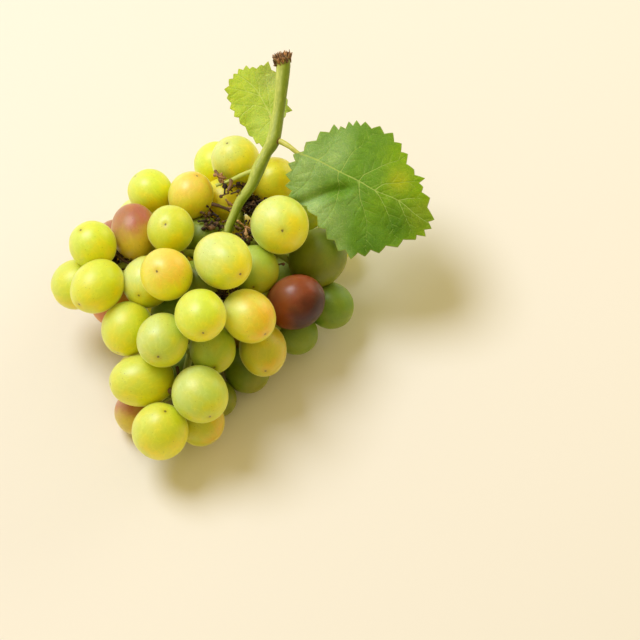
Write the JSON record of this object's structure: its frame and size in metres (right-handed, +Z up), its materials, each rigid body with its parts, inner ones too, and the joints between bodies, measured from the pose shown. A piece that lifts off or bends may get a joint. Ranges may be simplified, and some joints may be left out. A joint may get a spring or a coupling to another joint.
{
  "type": "bunch of grapes",
  "caption": "Bunch of green table grapes lying on its side, with its cut stalk, a large toothed leaf and a small young leaf.",
  "frame": {"origin": "on the table, under the middle of the bunch's box", "axes": "+Z up off the table, -Y towards the tip of the bunch and the viewer, +X to the viewer's right, where the large leaf lies"},
  "size_m": [0.1698, 0.1786, 0.0867],
  "materials": {
    "berry_skin": "translucent skin with a dull waxy bloom",
    "green_stalk": "green young wood, satin, dry and brown at the cut",
    "leaf_green": "satin leaf with pale veins",
    "leaf_pale": "thin young leaf, matt underside"
  },
  "bodies": {
    "root": {"berry_cluster": "berry_skin", "stalk": "green_stalk", "large_leaf": "leaf_green", "small_leaf": "leaf_pale"}
  },
  "joints": []
}
